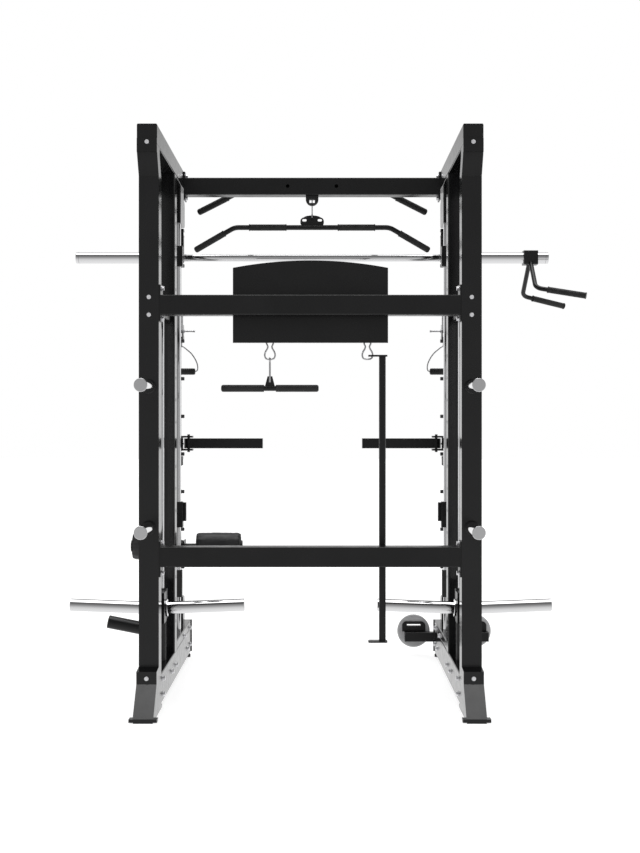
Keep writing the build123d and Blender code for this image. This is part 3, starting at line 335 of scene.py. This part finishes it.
def lathe(name, profile, origin, axis, paint, body, steps=48, wobble=None, closed=False):
    """Turns (along, radius) pairs round an axis: a radius of 0 closes an end, closed joins last to first."""
    bm = bmesh.new()
    axis = Vector(axis).normalized()
    side = axis.orthogonal().normalized()
    other = axis.cross(side)
    rings = []
    for along, radius in profile:
        centre = Vector(origin) + axis * along
        if radius == 0:
            rings.append([bm.verts.new(centre)])
            continue
        ring = []
        for turn in circle(steps):
            r = radius + (wobble(along, turn) if wobble else 0)
            ring.append(bm.verts.new(centre + (side * math.cos(turn) + other * math.sin(turn)) * r))
        rings.append(ring)
    pairs = list(zip(rings, rings[1:]))
    if closed:
        pairs.append((rings[-1], rings[0]))
    for a, b in pairs:
        for k in range(steps):
            n = (k + 1) % steps
            if len(a) == 1:
                bm.faces.new((a[0], b[n], b[k]))
            elif len(b) == 1:
                bm.faces.new((a[k], a[n], b[0]))
            else:
                bm.faces.new((a[k], a[n], b[n], b[k]))
    return finish_piece(mesh_object(name, bm), paint, body)


def ring(name, at, axis, radius, thick, paint, body, ripples=0, steps=48):
    """A small ring round a bar; ripples make it a weld bead."""
    section = [(thick * math.cos(a), radius + thick * math.sin(a)) for a in circle(8)]

    def wobble(along, turn):
        return thick * 0.22 * math.cos(turn * ripples) if ripples else 0

    steps = 96 if ripples else steps
    return lathe(name, section, at, axis, paint, body, steps=steps, wobble=wobble, closed=True)


def curve_tube(name, points, radius, paint, body, closed=False):
    """A round bar along a smooth curve, turned into a mesh."""
    data = bpy.data.curves.new(name, "CURVE")
    data.dimensions, data.bevel_depth, data.bevel_resolution, data.resolution_u = "3D", radius, 4, 10
    data.use_fill_caps = not closed
    spline = data.splines.new("NURBS")
    spline.points.add(len(points) - 1)
    for knot, point in zip(spline.points, points):
        knot.co = (*point, 1)
    spline.use_cyclic_u = closed
    spline.order_u, spline.use_endpoint_u = 3, not closed
    source = linked(name + "_curve", data)
    bpy.context.view_layer.update()
    mesh = bpy.data.meshes.new_from_object(source.evaluated_get(bpy.context.evaluated_depsgraph_get()))
    bpy.data.objects.remove(source)
    return finish_piece(linked(name, mesh), paint, body)


# ---------------------------------------------------------------- CAD nodes that stay


def paint_faces(node, paint, chosen):
    """Gives the faces of a CAD node that pass the test another material."""
    mesh = NODES[node].data
    mesh.materials.append(PAINTS[paint].material)
    index = len(mesh.materials) - 1
    for face in mesh.polygons:
        if chosen(face):
            face.material_index = index


def paint_nodes():
    paints = {row["node"]: row["material_slot"] for row in frame["record"]["subparts"]}
    for name in ("top_beams", "base_beams", "main_posts", "rear_uprights", "pulley_brackets", "rear_feet"):
        paints[name] = "beam_paint"
    paints["trolley_pin_left"] = paints["trolley_pin_right"] = "bright_steel"
    paints["frame_bolts"] = "zinc_bolt"
    for name, obj in NODES.items():
        cover(obj.data, paints[name], NODE_CREASE)
    eye = place(LINK_XS[0], 0, SHORT_BAR_EYE_Z)
    paint_faces("short_bar", "bright_steel", lambda face: face.center.z > eye.z)
    paint_faces("short_bar", "grip_rubber", lambda face: abs(face.center.x - eye.x) > SHORT_BAR_CLAMP)
    centre_x = place(0, 0, 0).x
    for _, word in SIDES:
        paint_faces(f"trolley_{word}", "bright_steel",
                    lambda face: abs(face.center.x - centre_x) < PLATED_TROLLEY)
    # Painted shade: these slopes get the darker, duller paint so they look as dark as the vertical faces.
    for node in ("rear_uprights", "top_beams"):  # slopes that face down and to the rear
        paint_faces(node, "slope_shade_paint", lambda face: face.normal.y < -0.3 and face.normal.z < -0.2)


# ---------------------------------------------------------------- grips, rollers and handles


def ribs(first, count, width, slope, low, high):
    """Flat ribs with sloping sides, one to each pitch, as (along, radius) pairs."""
    points = []
    for k in range(count):
        s = first + k * RIB_PITCH
        points += [(s, low), (s + slope, high), (s + width - slope, high), (s + width, low)]
    return points


def shoulder(start, run, foot, rise):
    """A quarter of an ellipse from a flat end up to the side, as (along, radius) pairs."""
    angles = [math.pi / 2 * k / 8 for k in range(9)]
    return [(start + run * (1 - math.cos(a)), foot + rise * math.sin(a)) for a in angles]


def grip_profile(length, inner, outer):
    """A moulded grip: flared ends, and a body with shallow grooves."""
    lip, edge = 0.004, 0.0012
    flare, neck = outer * 1.09, outer * 0.98
    points = [(0, inner), (0, outer), (edge, flare), (lip, flare), (lip + 0.0015, neck)]
    count = int((length - 2 * lip - 0.012) / RIB_PITCH)
    points += ribs((length - count * RIB_PITCH) / 2, count, 0.0068, 0.0012, outer * 0.985, outer)
    points += [(length - lip - 0.0015, neck), (length - lip, flare)]
    return points + [(length - edge, flare), (length, outer), (length, inner)]


def end_grip_profile(length, inner, outer, cap=0.003):
    """A moulded grip with a rounded closed end over the end of a tube."""
    bend = outer - 0.004
    first = 0.022
    points = [(-cap, 0)] + shoulder(-cap, bend, outer - bend, bend)
    count = int((length - first - 0.012) / RIB_PITCH)
    points += ribs(first, count, 0.0068, 0.0012, outer * 0.985, outer)
    flare = outer * 1.06
    points += [(length - 0.007, outer * 0.98), (length - 0.005, flare), (length - 0.0012, flare)]
    return points + [(length, outer), (length, inner)]


def make_grips():
    def grip(name, node, start, way, length, inner, outer, body, capped=False):
        profile = (end_grip_profile if capped else grip_profile)(length, inner, outer)
        made = lathe(name, profile, start, way, "grip_rubber", body, closed=not capped)
        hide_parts(node)

    for side, word in SIDES:
        grip(f"pull_down_grip_{word}", "lat_bar_grips", place(side * 113, PULL_DOWN_Y, 1945.5), (side, 0, 0),
             0.166, 0.0108, 0.0138, "lat_bar")
        grip(f"pull_down_end_grip_{word}", "lat_bar_grips", place(side * 516, PULL_DOWN_Y, 1845),
             (-side * 173, 0, 100.5), 0.15, 0.0108, 0.0138, "lat_bar", capped=True)
        grip(f"pull_up_grip_{word}", "pull_up_grips", place(side * 514, 1010, 2030), (-side * 174, 0, 88),
             0.15, 0.0113, 0.0143, "frame", capped=True)
    for side, word in ((-1, "rear"), (1, "front")):
        grip(f"row_grip_{word}", "row_handle_grips", place(1172, BAR_Y + side * 255, 1625),
             (-204.5, -side * 69, 41), 0.168, 0.0098, 0.0132, "row_handle")


def make_leg_rollers():
    """Firm foam rollers in vinyl: a soft edge, pinched ends with a seam, and an uneven surface."""
    low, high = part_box("leg_rollers")
    centre_y, centre_z = (low.y + high.y) / 2, (low.z + high.z) / 2
    side_radius = (high.z - low.z) / 2 - 0.003
    for start, word in ((low.x, "outer"), (high.x - ROLLER_LENGTH, "inner")):
        phases = [(random.uniform(0, 6.28), random.uniform(0, 6.28)) for _ in range(5)]

        def wobble(along, turn, phases=phases):
            near_end = math.exp(-min(along, ROLLER_LENGTH - along) / 0.022)
            soft = sum(math.sin(turn * (k + 2) + p[0]) * math.cos(along * 60 * (k + 1) + p[1])
                       for k, p in enumerate(phases))
            pinch = 0.0016 * near_end * math.cos(turn * 14 + phases[0][0])
            return 0.0002 * soft + pinch

        end = [(0.006, 0.0125), (0.006, 0.05), (0.001, 0.0535), (0.002, 0.057)]
        end += shoulder(0.004, 0.014, side_radius - 0.0085, 0.0075)
        middle = []
        for k in range(1, 24):
            crown = 0.001 * math.sin(math.pi * k / 24)
            middle.append((0.018 + (ROLLER_LENGTH - 0.036) * k / 24, side_radius - 0.001 + crown))
        points = end + middle + [(ROLLER_LENGTH - a, r) for a, r in reversed(end)]
        roller = lathe(f"leg_roller_{word}", points, (start, centre_y, centre_z), (1, 0, 0), "pad_vinyl",
                       "leg_rollers", steps=96, wobble=wobble, closed=True)
        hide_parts("leg_rollers")
        for x, letter in ((start + 0.0035, "a"), (start + ROLLER_LENGTH - 0.0035, "b")):
            ring(f"roller_seam_{word}_{letter}", (x, centre_y, centre_z), (1, 0, 0), 0.0555, 0.0012,
                 "grip_rubber", "leg_rollers", steps=64)


def make_stirrups():
    """Steel stirrups with rubber grips and a swivel eye."""
    half_bow = [(-58, 1317), (-71, 1317), (-76, 1330), (-73, 1356), (-50, 1397), (-22, 1420), (-8, 1431)]
    bow = half_bow + [(0, 1432)] + [(-x, z) for x, z in reversed(half_bow)]
    eye = [(-0.004, 0.0053), (-0.005, 0.0065), (-0.005, 0.0095), (-0.0035, 0.011)]
    eye += [(-along, radius) for along, radius in reversed(eye)]
    stem = [(0, 0), (0, 0.005), (0.004, 0.0056), (0.009, 0.0042), (0.0315, 0.0038), (0.0315, 0)]
    half = 64
    grip = [(0, 0), (0, 0.008), (0.0014, 0.0118), (0.004, 0.0142), (0.007, 0.0148)]
    grip += ribs(0.009, 14, 0.007, 0.0015, 0.0142, 0.015)
    grip += [(0.121, 0.0148), (0.124, 0.0142), (0.1266, 0.0118), (0.128, 0.008), (0.128, 0)]
    for side, word in SIDES:
        body = f"d_handle_{word}"
        centre = side * SIDE_X
        spots = [place(centre + x, HANDLE_Y, z) for x, z in bow]
        wire = curve_tube(f"stirrup_{word}", spots, 0.003, "bright_steel", body)
        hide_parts(f"d_handle_{word}")
        lathe(f"stirrup_eye_{word}", eye, place(centre, HANDLE_Y, 1470), (1, 0, 0), "bright_steel", body,
              closed=True)
        lathe(f"stirrup_stem_{word}", stem, place(centre, HANDLE_Y, 1429), (0, 0, 1), "bright_steel", body,
              steps=24)
        handle = lathe(f"stirrup_grip_{word}", grip, place(centre - half, HANDLE_Y, HANDLE_Z), (1, 0, 0),
                       "grip_rubber", body)


def make_snap_links():
    """Smooth pear-shaped snap links with a hinge pin."""
    half = [(4, 1401.5), (11, 1400.5), (14.6, 1391), (10.5, 1381), (7.2, 1374.5), (10, 1366), (17.5, 1355)]
    half += [(20.5, 1343), (17.5, 1331), (9, 1326.6)]
    outline = half + [(-x, z) for x, z in reversed(half)]
    pin = [(-0.0042, 0), (-0.0042, 0.0018), (0.0042, 0.0018), (0.0042, 0)]
    for x, (_, word) in zip(LINK_XS, SIDES):
        body = f"carabiner_{word}"
        spots = [place(x + dx, LINK_Y, z) for dx, z in outline]
        link = curve_tube(f"snap_link_{word}", spots, 0.0032, "bright_steel", body, closed=True)
        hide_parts(body)
        lathe(f"snap_link_pin_{word}", pin, place(x - 18.6, LINK_Y, 1352), (0, 1, 0), "zinc_bolt", body,
              steps=20)


# ---------------------------------------------------------------- cables that change length


def rope_strands(name, top, low, node):
    """Six strands as one mesh, laid between the frame and a body."""
    lay, lay_radius, strand_radius = 0.022, 0.00155, 0.00095
    bm = bmesh.new()
    run = low - top
    down = run.normalized()
    side = down.orthogonal().normalized()
    other = down.cross(side)
    steps = max(24, int(run.length / 0.004))
    for strand in range(6):
        rings = []
        for k in range(steps + 1):
            s = run.length * k / steps
            turn = strand * math.pi / 3 + s / lay * 2 * math.pi
            centre = top + down * s + (side * math.cos(turn) + other * math.sin(turn)) * lay_radius
            rings.append([bm.verts.new(centre + (side * math.cos(t) + other * math.sin(t)) * strand_radius)
                          for t in circle(6)])
        for p, q in zip(rings, rings[1:]):
            for k in range(6):
                bm.faces.new((p[k], p[(k + 1) % 6], q[(k + 1) % 6], q[k]))
        bm.faces.new(rings[0][::-1])
        bm.faces.new(rings[-1])
    obj = mesh_object(name, bm)
    cover(obj.data, "wire_cable", STRAND_CREASE)
    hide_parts(node)
    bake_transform(obj)


def make_moving_cables():
    ferrule = [(0, 0), (0, 0.0052), (0.003, 0.006), (0.02, 0.006), (0.026, 0.0035), (0.026, 0)]
    small_ferrule = [(along * 0.7, radius * 0.55) for along, radius in ferrule]
    for side, word in SIDES:
        y = PULL_DOWN_Y + side * STRAND_GAP
        top, low = place(0, y, 2116), place(0, y, 1988)
        rope_strands(f"pull_down_cable_{word}", top, low, "lat_cable")
        lathe(f"pull_down_ferrule_{word}", small_ferrule, low, (0, 0, 1), "bright_steel", "lat_bar", steps=24)
        body = f"weight_carriage_{word}"
        top, low = (place(side * CARRIAGE_X, CARRIAGE_Y, z) for z in (2098, 420))
        rope_strands(f"carriage_cable_{word}", top, low, "carriage_cables")
        lathe(f"carriage_ferrule_{word}", ferrule, low, (0, 0, 1), "bright_steel", body, steps=24)


# ---------------------------------------------------------------- welds and trim


def make_welds_and_trim():
    for side, word in SIDES:
        for z, height in ((1220, "upper"), (693, "lower")):
            ring(f"storage_weld_{height}_{word}", place(side * SIDE_X, -1.5, z), (0, 1, 0), 0.0255, 0.0022,
                 "beam_paint", "frame", ripples=44)
            ring(f"storage_lip_{height}_{word}", place(side * SIDE_X, -219, z), (0, 1, 0), 0.0238, 0.0007,
                 "chrome", "frame")
        ring(f"stand_off_weld_{word}", place(side * 290, 943.5, 2118), (0, 1, 0), 0.0136, 0.0018,
             "black_paint", "frame", ripples=28)
        ring(f"sleeve_groove_{word}", place(side * 1040, BAR_Y, BAR_Z), (1, 0, 0), 0.0247, 0.0006,
             "dark_steel", "smith_bar")
        ring(f"sleeve_snap_ring_{word}", place(side * 663, BAR_Y, BAR_Z), (1, 0, 0), 0.0262, 0.0016,
             "bright_steel", "smith_bar")
    for side, word in ((-1, "rear"), (1, "front")):
        ring(f"row_weld_{word}", place(972, BAR_Y + side * 24, 1789), (0, 0, 1), 0.0108, 0.0022,
             "black_paint", "row_handle", ripples=24)


PAINTS = make_materials()
make_camera()
make_studio()
paint_nodes()
make_grips()
make_leg_rollers()
make_stirrups()
make_snap_links()
make_moving_cables()
make_welds_and_trim()
